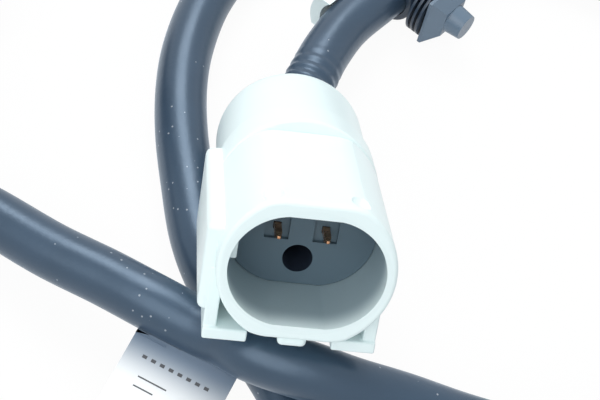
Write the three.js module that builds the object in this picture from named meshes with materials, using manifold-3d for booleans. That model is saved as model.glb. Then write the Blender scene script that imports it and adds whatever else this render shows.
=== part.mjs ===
// Wheel speed sensor lead: an open-mouthed two-pin plug, a coiled lead, and the sensor head.
// Millimetres, +Z up, table at z = 0. The plug lies mouth up over a turn of its own lead.
import * as THREE from 'three';
import Module from 'manifold-3d';

const wasm = await Module();
wasm.setup();
const { Manifold } = wasm;

// Plug. In its own frame x is across, y runs back from the mouth, z is its upper side.
const PLUG_TILT = THREE.MathUtils.degToRad(29);
const MOUTH_HEIGHT = 22.1;
const SHELL_RADIUS = 8.5;
const SHELL_FLAT = 7.25;
const SECTION_CORNER = SHELL_RADIUS - 0.4;
const FLAT_LENGTH = 16.4;
const SHELL_LENGTH = 20.6;
const SIDE_WALL = 1.05;
const FLAT_WALL = 1.55;
const MOUTH_WIDTH = 2 * (SHELL_RADIUS - SIDE_WALL);
const MOUTH_HEIGHT_INSIDE = 2 * (SHELL_FLAT - FLAT_WALL);
const MOUTH_CORNER = MOUTH_HEIGHT_INSIDE / 2 + 0.05;
const MOUTH_DEPTH = 8.4;
const CARRIER_LENGTH = SHELL_LENGTH - MOUTH_DEPTH - 2.8;
const CARRIER_GAP = 0.2;
const LEFT_RAIL_OUTER = SHELL_RADIUS + 0.3;
const RIGHT_RAIL_OUTER = SHELL_RADIUS - 0.5;
const RAIL_WEB = 1.3;
const RAIL_FOOT = 4.3;
const SIDE_PLATE_OUTER = SHELL_RADIUS + 1.1;
const SIDE_PLATE_TAPER = 1.2;
const SIDE_PLATE_TOP = 3.0;
const RAIL_BOTTOM = 9.0;
const RAIL_START = 1.8;
const RAIL_FOOT_END = 16.2;
const RAIL_STEP_HEIGHT = 2.6;
const PIN_PITCH = 4.8;
const PIN_HEIGHT = 0.3;
const PIN_WIDTH = 0.7;
const PIN_TIP = 6.2;
const KEY_HOLE_RADIUS = 1.5;
const KEY_HOLE_HEIGHT = -2.85;
const CAP_RADIUS = SHELL_RADIUS - 0.45;
const CAP_START = SHELL_LENGTH + 0.2;
const CAP_END = CAP_START + 11.8;
const CAP_ROUND = 2.8;
const SEAL_RADIUS = 4.7;

// Lead, clip and label.
const LEAD_RADIUS = 3.0;
const LEAD_BORE = 3.25;
const LEAD_STEPS = 80;
const CLIP_CENTRE = new THREE.Vector3(14.15, 55.95, 4.5);
const CLIP_HEADING = THREE.MathUtils.degToRad(50.2);
const CLIP_LENGTH = 6.4;
const CLIP_OUTER = 3.9;
const PAD_THICKNESS = 1.6;
const LABEL_CENTRE = new THREE.Vector3(-11.6, 3.56, 7.08);
const LABEL_HEADING = THREE.MathUtils.degToRad(-25.2);

// Sensor head, lying on its flat side with the nose up.
const HEAD = new THREE.Vector3(-45, 50, 0);
const HEAD_HALF_WIDTH = 9.0;
const HEAD_FRONT = 10.0;
const FLANGE_THICKNESS = 9.2;
const EAR_RADIUS = 7.0;
const EAR_OFFSET = 16.5;
const NOSE_RADIUS = 7.0;
const NOSE_BORE = 5.4;
const RING_GROOVE_RADIUS = 6.1;
const RING_THICKNESS = 1.5;
const HEAD_HEIGHT = 30.5;
const BUSH_RADIUS = 4.5;
const BUSH_BORE = 3.3;

const COLOURS = {
  pale_plastic: 0xe3efed,
  carrier_plastic: 0xaebcc0,
  pin_metal: 0xb87b45,
  black_rubber: 0x343b42,
  seal_rubber: 0x8d4a35,
  core_insulation: 0x4a5560,
  clip_plastic: 0x2b333d,
  label_paper: 0xf4f6f6,
  black_plastic: 0x24272b,
  sleeve_metal: 0xb9bbbc,
  chip_plastic: 0x1b1c1f,
  magnet_metal: 0x6f7276,
};

const group = new THREE.Group();
const cordNames = new Set(['cable', 'cable_clip', 'clip_pad', 'cable_label']);

function toGeometry(solid) {
  const mesh = solid.getMesh();
  const geometry = new THREE.BufferGeometry();
  geometry.setAttribute('position', new THREE.BufferAttribute(new Float32Array(mesh.vertProperties), 3));
  geometry.setIndex(new THREE.BufferAttribute(new Uint32Array(mesh.triVerts), 1));
  return geometry;
}

function box(xLow, xHigh, yLow, yHigh, zLow, zHigh) {
  return Manifold.cube([xHigh - xLow, yHigh - yLow, zHigh - zLow]).translate([xLow, yLow, zLow]);
}

// A round bar along y between two stations.
function barY(radius, yLow, yHigh, x = 0, z = 0, endRadius = radius, segments = 40) {
  return Manifold.cylinder(yHigh - yLow, radius, endRadius, segments)
    .rotate([-90, 0, 0])
    .translate([x, yLow, z]);
}

function barZ(radius, zLow, zHigh, x = 0, y = 0, endRadius = radius, segments = 40) {
  return Manifold.cylinder(zHigh - zLow, radius, endRadius, segments).translate([x, y, zLow]);
}

// Two half rounds joined by flats, clipped above and below, along y.
function doubleRound(width, height, yLow, yHigh, cornerRadius) {
  const offset = width / 2 - cornerRadius;
  const left = barY(cornerRadius, yLow, yHigh, -offset);
  const right = barY(cornerRadius, yLow, yHigh, offset);
  const middle = box(-offset, offset, yLow, yHigh, -cornerRadius, cornerRadius);
  const body = Manifold.union([left, right, middle]);
  return body.intersect(box(-width, width, yLow - 1, yHigh + 1, -height / 2, height / 2));
}

const plugMatrix = new THREE.Matrix4()
  .makeTranslation(0, 0, MOUTH_HEIGHT)
  .multiply(new THREE.Matrix4().makeRotationX(-PLUG_TILT));

function plugPoint(x, y, z) {
  return new THREE.Vector3(x, y, z).applyMatrix4(plugMatrix);
}

function add(name, slot, geometry, matrix = null) {
  if (matrix) geometry.applyMatrix4(matrix);
  const material = new THREE.MeshStandardMaterial({ color: COLOURS[slot], name: slot });
  const mesh = new THREE.Mesh(geometry, material);
  mesh.name = name;
  group.add(mesh);
}

function sweep(points, radius, steps, segments) {
  const section = new THREE.Shape();
  for (let i = 0; i < segments; i += 1) {
    const angle = (2 * Math.PI * i) / segments;
    const x = radius * Math.cos(angle);
    const y = radius * Math.sin(angle);
    if (i === 0) section.moveTo(x, y);
    else section.lineTo(x, y);
  }
  const path = new THREE.CatmullRomCurve3(points, false, 'centripetal');
  return new THREE.ExtrudeGeometry(section, { steps, bevelEnabled: false, extrudePath: path });
}

// Plug shell: rounded mouth section, round band behind it, rails below, a side plate, a latch nose.
function connectorShell() {
  const rim = 0.35;
  const section = doubleRound(2 * SHELL_RADIUS, 2 * SHELL_FLAT, rim, FLAT_LENGTH + 0.1, SECTION_CORNER);
  const lip = doubleRound(2 * (SHELL_RADIUS - 0.3), 2 * (SHELL_FLAT - 0.3), 0, rim + 0.1, SECTION_CORNER - 0.3);
  const band = barY(SHELL_RADIUS, FLAT_LENGTH, SHELL_LENGTH - 0.4, 0, 0, SHELL_RADIUS, 64)
    .add(barY(SHELL_RADIUS, SHELL_LENGTH - 0.4, SHELL_LENGTH, 0, 0, SHELL_RADIUS - 0.35, 64));
  let shell = Manifold.union([section, lip, band]);
  for (const [side, reach] of [[-1, LEFT_RAIL_OUTER], [1, RIGHT_RAIL_OUTER]]) {
    const outer = side * reach;
    const inner = side * (reach - RAIL_WEB);
    const toe = side * (reach - RAIL_FOOT);
    const web = box(Math.min(outer, inner), Math.max(outer, inner), RAIL_START + 0.4, SHELL_LENGTH - 0.9,
      -RAIL_BOTTOM, 0);
    const foot = box(Math.min(outer, toe), Math.max(outer, toe), RAIL_START, RAIL_FOOT_END,
      -RAIL_BOTTOM, -RAIL_BOTTOM + 1.2);
    const step = box(Math.min(outer, toe), Math.max(outer, toe), RAIL_FOOT_END, SHELL_LENGTH,
      -RAIL_BOTTOM, -RAIL_BOTTOM + RAIL_STEP_HEIGHT);
    shell = shell.add(web.subtract(step)).add(foot);
  }
  const plateFoot = -SHELL_RADIUS + 0.3;
  const plate = Manifold.hull([
    box(-SIDE_PLATE_OUTER, plateFoot, RAIL_START + 0.4, SHELL_LENGTH - SIDE_PLATE_TAPER, -6.2, SIDE_PLATE_TOP),
    box(-SHELL_RADIUS - 0.1, plateFoot, RAIL_START + 0.4, SHELL_LENGTH - 0.1, -6.2, SIDE_PLATE_TOP),
  ]);
  const plateBack = box(plateFoot - 0.3, plateFoot + 0.8, RAIL_START + 0.4, SHELL_LENGTH - 0.5,
    -6.2, SIDE_PLATE_TOP);
  const noseBlock = box(-1.7, 1.1, 0.5, 4.6, -8.3, -SHELL_FLAT + 0.2);
  shell = Manifold.union([shell, plate, plateBack, noseBlock]);
  shell = shell.subtract(doubleRound(MOUTH_WIDTH, MOUTH_HEIGHT_INSIDE, -1, MOUTH_DEPTH, MOUTH_CORNER));
  const carrierEnd = MOUTH_DEPTH + CARRIER_LENGTH;
  shell = shell.subtract(doubleRound(MOUTH_WIDTH - 0.1, MOUTH_HEIGHT_INSIDE - 0.1,
    MOUTH_DEPTH - 0.1, carrierEnd + 0.3, MOUTH_CORNER - 0.05));
  shell = shell.subtract(barY(SEAL_RADIUS + 0.4, carrierEnd, SHELL_LENGTH + 1));
  const keyRib = box(-MOUTH_WIDTH / 2 - 0.2, -MOUTH_WIDTH / 2 + 0.95, 2.6, MOUTH_DEPTH - 0.1, -0.5, 1.6);
  shell = shell.add(keyRib);
  for (const x of [-4.3, 4.3]) {
    shell = shell.subtract(Manifold.sphere(1.3, 24).translate([x, 1.7, 7.75]));
  }
  return toGeometry(shell);
}

// Floor of the mouth with a round key hole and a square pocket round each pin.
function terminalCarrier() {
  const width = MOUTH_WIDTH - 0.1 - 2 * CARRIER_GAP;
  const height = MOUTH_HEIGHT_INSIDE - 0.1 - 2 * CARRIER_GAP;
  let carrier = doubleRound(width, height, MOUTH_DEPTH, MOUTH_DEPTH + CARRIER_LENGTH,
    MOUTH_CORNER - 0.05 - CARRIER_GAP);
  carrier = carrier.subtract(barY(KEY_HOLE_RADIUS, MOUTH_DEPTH - 1, MOUTH_DEPTH + 7.0, 0, KEY_HOLE_HEIGHT));
  for (const side of [-1, 1]) {
    const x = (side * PIN_PITCH) / 2;
    carrier = carrier.subtract(box(x - 1.2, x + 1.2, MOUTH_DEPTH - 1, MOUTH_DEPTH + 0.5,
      PIN_HEIGHT - 1.2, PIN_HEIGHT + 1.2));
    carrier = carrier.subtract(box(x - 0.5, x + 0.5, MOUTH_DEPTH, MOUTH_DEPTH + CARRIER_LENGTH + 1,
      PIN_HEIGHT - 0.5, PIN_HEIGHT + 0.5));
  }
  return toGeometry(carrier);
}

function terminalPin(side) {
  const x = (side * PIN_PITCH) / 2;
  const half = PIN_WIDTH / 2;
  const rear = MOUTH_DEPTH + CARRIER_LENGTH;
  const blade = box(x - half, x + half, PIN_TIP + 0.6, rear, PIN_HEIGHT - 0.35, PIN_HEIGHT + 0.35);
  const tip = Manifold.cylinder(0.6, 0.2, 0.5, 4)
    .rotate([-90, 0, 0])
    .rotate([0, 45, 0])
    .translate([x, PIN_TIP, PIN_HEIGHT]);
  return toGeometry(blade.add(tip));
}

// Rear cap: round, slightly smaller than the shell, its back edge well rounded.
function rearCap() {
  const steps = 5;
  let cap = barY(CAP_RADIUS, CAP_START, CAP_END - CAP_ROUND, 0, 0, CAP_RADIUS, 56);
  for (let i = 0; i < steps; i += 1) {
    const from = (i / steps) * (Math.PI / 2);
    const to = ((i + 1) / steps) * (Math.PI / 2);
    const yFrom = CAP_END - CAP_ROUND + CAP_ROUND * Math.sin(from);
    const yTo = CAP_END - CAP_ROUND + CAP_ROUND * Math.sin(to);
    const rFrom = CAP_RADIUS - CAP_ROUND + CAP_ROUND * Math.cos(from);
    const rTo = CAP_RADIUS - CAP_ROUND + CAP_ROUND * Math.cos(to);
    cap = cap.add(barY(rFrom, yFrom, yTo, 0, 0, rTo, 56));
  }
  cap = cap.subtract(barY(SEAL_RADIUS + 0.3, CAP_START - 1, CAP_END - 2.0));
  cap = cap.subtract(barY(LEAD_BORE, CAP_END - 2.5, CAP_END + 1));
  return toGeometry(cap);
}

function cableSeal() {
  const outer = barY(SEAL_RADIUS, CAP_START + 0.2, CAP_END - 2.3);
  return toGeometry(outer.subtract(barY(LEAD_BORE, CAP_START - 1, CAP_END)));
}

function coreWire(side) {
  const start = new THREE.Vector3((side * PIN_PITCH) / 2, MOUTH_DEPTH + CARRIER_LENGTH + 0.3, PIN_HEIGHT);
  const bend = new THREE.Vector3(side * 2.0, SHELL_LENGTH - 1.6, 0.2);
  const end = new THREE.Vector3(side * 1.3, CAP_START + 0.1, 0);
  return sweep([start, bend, end], 0.65, 4, 8);
}

// The lead leaves the rear cap, makes two turns of a coil, crosses itself, and ends in the head.
const leadPoints = [
  plugPoint(0, CAP_START + 0.6, 0), plugPoint(0, CAP_START + 5.2, 0), plugPoint(0, CAP_END - 0.6, 0),
  plugPoint(0, CAP_END + 2.0, 0), [0.6, 32.6, 4.75], [1.5, 34.9, 4.5], [2.7, 37.8, 4.5],
  [4.6, 42.7, 4.5], [7.2, 47.5, 4.5],
  [10.95, 52.1, 4.5], [14.15, 55.95, 4.5], [17.35, 59.8, 4.4], [22.0, 63.2, 3.5], [29.0, 65.4, 3.1],
  [37.0, 64.6, 3.1], [45.0, 60.4, 3.1], [50.8, 52.5, 3.1], [53.6, 41.5, 3.1], [54.0, 29.0, 3.1],
  [52.0, 16.5, 3.1], [47.4, 5.0, 3.1], [40.0, -5.5, 3.1], [31.0, -12.5, 3.1], [21.5, -16.2, 3.1],
  [13.0, -15.6, 3.1], [7.0, -11.8, 3.1], [3.2, -6.4, 3.1], [0.3, -1.2, 3.1], [-3.2, 4.2, 3.1],
  [-6.7, 9.6, 3.1], [-9.0, 15.2, 3.1], [-10.6, 22.7, 3.1], [-11.7, 29.5, 3.1], [-12.1, 35.6, 3.1],
  [-11.7, 42.0, 3.1], [-9.8, 50.0, 3.1], [-6.2, 57.4, 3.1], [-0.2, 64.4, 3.1], [8.0, 69.8, 3.1],
  [19.0, 72.6, 3.1], [31.0, 73.0, 3.1], [43.0, 69.8, 3.1], [53.4, 62.4, 3.1], [60.2, 51.6, 3.1],
  [63.0, 39.0, 3.1], [63.0, 26.0, 3.1], [60.4, 13.6, 3.5], [55.4, 4.0, 5.4], [48.6, -3.0, 8.2],
  [42.0, -6.8, 9.4], [35.5, -8.4, 9.3], [29.6, -8.0, 7.4], [24.4, -6.4, 5.6], [18.7, -4.9, 5.1],
  [12.2, -4.0, 6.6], [6.3, -3.7, 8.4], [2.4, -3.0, 9.2], [-0.7, -2.3, 9.3], [-3.4, -1.3, 9.05],
  [-5.9, 0.7, 7.85], [-8.6, 2.15, 7.05], [-13.6, 4.5, 7.1], [-18.2, 7.1, 6.5], [-24.2, 10.3, 5.6],
  [-30.5, 14.2, 4.8], [-37.4, 18.0, 4.5], [-42.6, 22.8, 4.5], [-44.8, 27.6, 4.5], [-45.0, 32.0, 4.5],
  [-45.0, 37.0, 4.5], [-45.0, 41.5, 4.5],
].map((point) => (Array.isArray(point) ? new THREE.Vector3(...point) : point));

function clipMatrix() {
  return new THREE.Matrix4()
    .makeTranslation(CLIP_CENTRE.x, CLIP_CENTRE.y, CLIP_CENTRE.z)
    .multiply(new THREE.Matrix4().makeRotationZ(CLIP_HEADING));
}

// Band round the lead with a push-in fir tree across it. The lead runs along x here.
function cableClip() {
  const half = CLIP_LENGTH / 2;
  const along = (radius, from, to, endRadius = radius) => Manifold.cylinder(to - from, radius, endRadius, 32)
    .rotate([0, 90, 0])
    .translate([from, 0, 0]);
  const across = (radius, from, to, endRadius = radius, sides = 28) => Manifold
    .cylinder(to - from, radius, endRadius, sides)
    .rotate([0, 0, 45])
    .rotate([90, 0, 0])
    .translate([0, -from, 0]);
  let clip = along(CLIP_OUTER, -half, half);
  clip = clip.add(box(-2.0, 2.0, -4.3, -3.2, -2.2, 2.2));
  clip = clip.add(across(1.6, 3.6, 7.9));
  for (const from of [4.1, 4.8, 5.5]) {
    clip = clip.add(across(4.2, from, from + 0.35));
  }
  clip = clip.add(across(4.9, 6.1, 6.5, 4.9, 4)).add(across(4.9, 6.5, 8.2, 2.7, 4));
  clip = clip.add(across(1.9, 8.1, 10.3));
  clip = clip.subtract(along(LEAD_BORE + 0.1, -half - 1, half + 1));
  return toGeometry(clip);
}

// Pale pad against the lead's side, next to the band.
function clipPad() {
  const shell = Manifold.cylinder(8.6, LEAD_BORE + PAD_THICKNESS, LEAD_BORE + PAD_THICKNESS, 40)
    .subtract(Manifold.cylinder(10, LEAD_BORE + 0.1, LEAD_BORE + 0.1, 40).translate([0, 0, -0.7]))
    .rotate([0, 90, 0])
    .translate([-CLIP_LENGTH / 2 - 0.3 - 8.6, 0, 0]);
  return toGeometry(shell.intersect(box(-20, 0, 2.2, 8, -2.4, 2.4)));
}

// Folded paper label: a half wrap under the lead and a flag that leans down to the table.
function cableLabel() {
  const wrap = Manifold.cylinder(3.4, 3.5, 3.5, 32).rotate([0, 90, 0]).translate([-2.0, 0, 0]);
  const bore = Manifold.cylinder(6.0, 3.3, 3.3, 32).rotate([0, 90, 0]).translate([-3.0, 0, 0]);
  const above = box(-4, 4, -5, 5, -0.9, 5);
  const flag = Manifold.hull([
    box(-2.0, 9.2, -19.0, -3.38, -0.12, 0.12),
    box(9.1, 9.2, -19.0, -2.9, -0.12, 0.12),
  ]).rotate([19, 0, 0]);
  return toGeometry(wrap.subtract(above).add(flag).subtract(bore));
}

function labelMatrix() {
  return new THREE.Matrix4()
    .makeTranslation(LABEL_CENTRE.x, LABEL_CENTRE.y, LABEL_CENTRE.z)
    .multiply(new THREE.Matrix4().makeRotationZ(LABEL_HEADING));
}

// Head: flat body with an ear, and a round hollow nose that stands up.
function headBody() {
  const block = box(-HEAD_HALF_WIDTH, HEAD_HALF_WIDTH, -HEAD_FRONT, 2, 0, FLANGE_THICKNESS);
  const middle = barZ(HEAD_HALF_WIDTH, 0, FLANGE_THICKNESS, 0, 2);
  const ear = barZ(EAR_RADIUS, 0, FLANGE_THICKNESS, 0, EAR_OFFSET);
  const blend = Manifold.hull([
    barZ(HEAD_HALF_WIDTH - 1.5, 0, FLANGE_THICKNESS, 0, 3),
    ear,
  ]);
  let body = Manifold.union([block, middle, blend]);
  const nose = barZ(NOSE_RADIUS, FLANGE_THICKNESS - 0.2, HEAD_HEIGHT - 1)
    .add(barZ(NOSE_RADIUS, HEAD_HEIGHT - 1, HEAD_HEIGHT, 0, 0, NOSE_RADIUS - 0.8));
  body = body.add(nose);
  const ringGroove = barZ(NOSE_RADIUS + 1, 12.4, 15.2).subtract(barZ(RING_GROOVE_RADIUS, 12, 16));
  body = body.subtract(ringGroove);
  body = body.subtract(barZ(NOSE_BORE, 1.4, HEAD_HEIGHT - 1.2));
  body = body.subtract(barZ(BUSH_RADIUS + 0.2, -1, FLANGE_THICKNESS + 1, 0, EAR_OFFSET));
  body = body.subtract(barY(LEAD_BORE, -HEAD_FRONT - 1, -4.8, 0, 4.5));
  return toGeometry(body);
}

function elementHolder() {
  const radius = NOSE_BORE - 0.2;
  let holder = barZ(radius, 11.0, HEAD_HEIGHT - 1.4);
  holder = holder.subtract(box(-2.9, 2.9, -1.1, 1.1, HEAD_HEIGHT - 5.6, HEAD_HEIGHT));
  holder = holder.subtract(barZ(2.85, 17.0, 21.2, 0, 0.7));
  holder = holder.subtract(box(-2.85, 2.85, 0.7, 6, 17.0, 21.2));
  for (const x of [-1.2, 1.2]) {
    holder = holder.subtract(barZ(0.95, 10.0, HEAD_HEIGHT - 5.5, x, -3.2, 0.95, 16));
    holder = holder.subtract(box(x - 0.6, x + 0.6, -4.0, 0, HEAD_HEIGHT - 6.2, HEAD_HEIGHT - 5.2));
  }
  return toGeometry(holder);
}

function headLead(side) {
  const x = side * 1.2;
  return sweep([
    new THREE.Vector3(x, -8.1, 4.5),
    new THREE.Vector3(x, -5.4, 4.8),
    new THREE.Vector3(x, -3.4, 7.4),
    new THREE.Vector3(x, -3.2, 12.0),
    new THREE.Vector3(x, -3.2, HEAD_HEIGHT - 6.0),
  ], 0.65, 12, 8);
}

function oRing() {
  return new THREE.TorusGeometry(RING_GROOVE_RADIUS + RING_THICKNESS / 2 + 0.05, RING_THICKNESS / 2, 10, 40);
}

const headMatrix = new THREE.Matrix4().makeTranslation(HEAD.x, HEAD.y, HEAD.z);
const ringMatrix = new THREE.Matrix4().makeTranslation(HEAD.x, HEAD.y, 13.8);

add('connector_shell', 'pale_plastic', connectorShell(), plugMatrix);
add('terminal_carrier', 'carrier_plastic', terminalCarrier(), plugMatrix);
add('terminal_pin_left', 'pin_metal', terminalPin(-1), plugMatrix);
add('terminal_pin_right', 'pin_metal', terminalPin(1), plugMatrix);
add('rear_cap', 'pale_plastic', rearCap(), plugMatrix);
add('cable_seal', 'seal_rubber', cableSeal(), plugMatrix);
add('core_wire_left', 'core_insulation', coreWire(-1), plugMatrix);
add('core_wire_right', 'core_insulation', coreWire(1), plugMatrix);
add('cable', 'black_rubber', sweep(leadPoints, LEAD_RADIUS, LEAD_STEPS, 12));
add('cable_clip', 'clip_plastic', cableClip(), clipMatrix());
add('clip_pad', 'pale_plastic', clipPad(), clipMatrix());
add('cable_label', 'label_paper', cableLabel(), labelMatrix());
add('head_body', 'black_plastic', headBody(), headMatrix);
add('head_boot', 'black_rubber',
  toGeometry(barY(4.3, -17.0, -10.3, 0, 4.5, 4.3, 32).subtract(barY(LEAD_BORE, -18, -9, 0, 4.5))), headMatrix);
add('head_o_ring', 'seal_rubber', oRing(), ringMatrix);
add('mounting_bush', 'sleeve_metal', toGeometry(barZ(BUSH_RADIUS, 0, FLANGE_THICKNESS + 0.3, 0, EAR_OFFSET)
  .subtract(barZ(BUSH_BORE, -1, 12, 0, EAR_OFFSET))), headMatrix);
add('element_holder', 'chip_plastic', elementHolder(), headMatrix);
add('hall_element', 'chip_plastic',
  toGeometry(box(-2.6, 2.6, -0.9, 0.9, HEAD_HEIGHT - 5.3, HEAD_HEIGHT - 1.6)), headMatrix);
add('bias_magnet', 'magnet_metal', toGeometry(barZ(2.6, 17.2, 21.0, 0, 0.7)), headMatrix);
add('lead_left', 'core_insulation', headLead(-1), headMatrix);
add('lead_right', 'core_insulation', headLead(1), headMatrix);

// The row's origin is under the middle of the solid pieces, without the lead and what it carries.
group.updateMatrixWorld(true);
const bounds = new THREE.Box3();
for (const mesh of group.children) {
  if (!cordNames.has(mesh.name)) bounds.expandByObject(mesh);
}
const shift = new THREE.Vector3((bounds.min.x + bounds.max.x) / 2, (bounds.min.y + bounds.max.y) / 2, bounds.min.z);
for (const mesh of group.children) {
  mesh.geometry.translate(-shift.x, -shift.y, -shift.z);
}

export default group;
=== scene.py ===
"""Looks of a wheel speed sensor lead: pale two-pin plug, coiled rubber lead, clip, label and head.

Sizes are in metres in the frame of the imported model. The plug, clip, label and head are each
modelled in their own frame and then placed where the model has them.
"""

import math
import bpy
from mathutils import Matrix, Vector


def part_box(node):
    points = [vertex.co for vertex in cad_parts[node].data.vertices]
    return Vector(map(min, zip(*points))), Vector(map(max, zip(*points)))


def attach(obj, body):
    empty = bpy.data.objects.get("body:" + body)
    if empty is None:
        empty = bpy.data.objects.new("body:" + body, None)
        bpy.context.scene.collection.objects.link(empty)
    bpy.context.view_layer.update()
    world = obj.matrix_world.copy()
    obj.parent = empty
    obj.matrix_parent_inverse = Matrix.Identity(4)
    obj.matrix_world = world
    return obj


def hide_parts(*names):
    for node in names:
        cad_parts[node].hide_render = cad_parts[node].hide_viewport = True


bl_info = {
    "name": "Wheel speed sensor lead",
    "version": (1, 0, 0),
    "blender": (4, 5, 0),
    "location": "3D View > Sidebar > Sensor lead",
    "description": "Models the plug, lead, clip, label and sensor head over their packed solids",
    "category": "Object",
}

import bpy
from bpy.props import FloatProperty, FloatVectorProperty, PointerProperty
from mathutils import Matrix, Vector

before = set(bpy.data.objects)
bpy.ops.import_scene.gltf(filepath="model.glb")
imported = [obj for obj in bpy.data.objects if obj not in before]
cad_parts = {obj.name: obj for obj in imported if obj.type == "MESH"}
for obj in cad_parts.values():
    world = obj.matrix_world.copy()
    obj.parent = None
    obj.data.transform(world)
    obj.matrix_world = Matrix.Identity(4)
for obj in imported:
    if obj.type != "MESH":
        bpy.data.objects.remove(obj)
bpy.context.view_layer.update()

MM = 0.001
BODY = "root"

# Places in the route's own millimetres, as the part's source has them.
HEAD_PLACE = Vector((-45.0, 50.0, 0.0)) * MM
HEAD_HALF_WIDTH = 9.0 * MM
HEAD_FRONT = 10.0 * MM
PLUG_TILT = math.radians(29)
PLUG_PLACE = Vector((0.0, 0.0, 22.1)) * MM
CLIP_PLACE = Vector((14.15, 55.95, 4.5)) * MM
CLIP_HEADING = math.radians(50.2)
LABEL_PLACE = Vector((-11.6, 3.56, 7.08)) * MM
LABEL_HEADING = math.radians(-25.2)
LABEL_LEAN = math.radians(19)

# Sizes that several pieces share, or that two steps of one piece need.
CARRIER_LENGTH = 9.4 * MM
PIN_TIP = 6.2 * MM
KEY_HOLE_RADIUS = 1.5 * MM
KEY_HOLE_DROP = 2.85 * MM
LEAD_HOLE_RADIUS = 3.25 * MM
HEAD_LEAD = (0.0, 4.5 * MM)
LABEL_THICKNESS = 0.24 * MM
WELD_REACH = 0.0002 * MM

# Finishes that a mask or a reflection needs. The fold and rib shades are painted shade, which masks lay on
# the label paper and the clip.
COOL_TINT = (0.62, 0.80, 1.0, 1.0)
FOLD_PAINTED_SHADE = (0.15, 0.21, 0.29)
RIB_PAINTED_SHADE = (0.035, 0.055, 0.085)
WHITE = (1.0, 1.0, 1.0, 1.0)

head_low, head_high = (Vector(corner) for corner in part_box("head_body"))
SHIFT = Vector((
    (head_low.x + head_high.x) / 2 - HEAD_PLACE.x,
    head_low.y + HEAD_FRONT - HEAD_PLACE.y,
    head_low.z,
))

PLUG_FRAME = Matrix.Translation(PLUG_PLACE + SHIFT) @ Matrix.Rotation(-PLUG_TILT, 4, "X")
CLIP_FRAME = Matrix.Translation(CLIP_PLACE + SHIFT) @ Matrix.Rotation(CLIP_HEADING, 4, "Z")
LABEL_FRAME = Matrix.Translation(LABEL_PLACE + SHIFT) @ Matrix.Rotation(LABEL_HEADING, 4, "Z")
HEAD_FRAME = Matrix.Translation(HEAD_PLACE + SHIFT)

# Stations of the lead inside the plug, then its route over the table, in millimetres.
LEAD_IN_PLUG = (21.4, 26.0, 32.0, 34.6)
LEAD_ROUTE = (
    (0.6, 32.6, 4.75), (1.5, 34.9, 4.5), (2.7, 37.8, 4.5), (4.6, 42.7, 4.5), (7.2, 47.5, 4.5),
    (10.95, 52.1, 4.5), (14.15, 55.95, 4.5), (17.35, 59.8, 4.4), (22.0, 63.2, 3.5), (29.0, 65.4, 3.1),
    (37.0, 64.6, 3.1), (45.0, 60.4, 3.1), (50.8, 52.5, 3.1), (53.6, 41.5, 3.1), (54.0, 29.0, 3.1),
    (52.0, 16.5, 3.1), (47.4, 5.0, 3.1), (40.0, -5.5, 3.1), (31.0, -12.5, 3.1), (21.5, -16.2, 3.1),
    (13.0, -15.6, 3.1), (7.0, -11.8, 3.1), (3.2, -6.4, 3.1), (0.3, -1.2, 3.1), (-3.2, 4.2, 3.1),
    (-6.7, 9.6, 3.1), (-9.0, 15.2, 3.1), (-10.6, 22.7, 3.1), (-11.7, 29.5, 3.1), (-12.1, 35.6, 3.1),
    (-11.7, 42.0, 3.1), (-9.8, 50.0, 3.1), (-6.2, 57.4, 3.1), (-0.2, 64.4, 3.1), (8.0, 69.8, 3.1),
    (19.0, 72.6, 3.1), (31.0, 73.0, 3.1), (43.0, 69.8, 3.1), (53.4, 62.4, 3.1), (60.2, 51.6, 3.1),
    (63.0, 39.0, 3.1), (63.0, 26.0, 3.1), (60.4, 13.6, 3.5), (55.4, 4.0, 5.4), (48.6, -3.0, 8.2),
    (42.0, -6.8, 9.4), (35.5, -8.4, 9.3), (29.6, -8.0, 7.4), (24.4, -6.4, 5.6), (18.7, -4.9, 5.1),
    (12.2, -4.0, 6.6), (6.3, -3.7, 8.4), (2.4, -3.0, 9.2), (-0.7, -2.3, 9.3), (-3.4, -1.3, 9.05),
    (-5.9, 0.7, 7.85), (-8.6, 2.15, 7.05), (-13.6, 4.5, 7.1), (-18.2, 7.1, 6.5), (-24.2, 10.3, 5.6),
    (-30.5, 14.2, 4.8), (-37.4, 18.0, 4.5), (-42.6, 22.8, 4.5), (-44.8, 27.6, 4.5), (-45.0, 32.0, 4.5),
    (-45.0, 37.0, 4.5), (-45.0, 41.5, 4.5),
)

# The camera that took the photograph: where it stood, and which way its right and its view point.
CAMERA_PLACE = Vector((-18.02, -72.68, 135.84)) * MM
CAMERA_RIGHT = Vector((0.9869, 0.01607, 0.16052))
CAMERA_VIEW = Vector((0.12213, 0.57567, -0.80851))
CAMERA_SENSOR = 36.0
CAMERA_LENS = 88.4
CAMERA_NEAREST = 10 * MM

# The table lies just under the part. The lamps are placed from the middle of the plug's mouth.
TABLE_DROP = 0.2 * MM
TABLE_GLOW = 0.95
KEY_OFFSET = Vector((-0.06, 0.30, 0.42))
KEY_SIZE = 0.30
FILL_OFFSET = Vector((-0.22, -0.32, 0.46))
FILL_SIZE = 0.5


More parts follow.
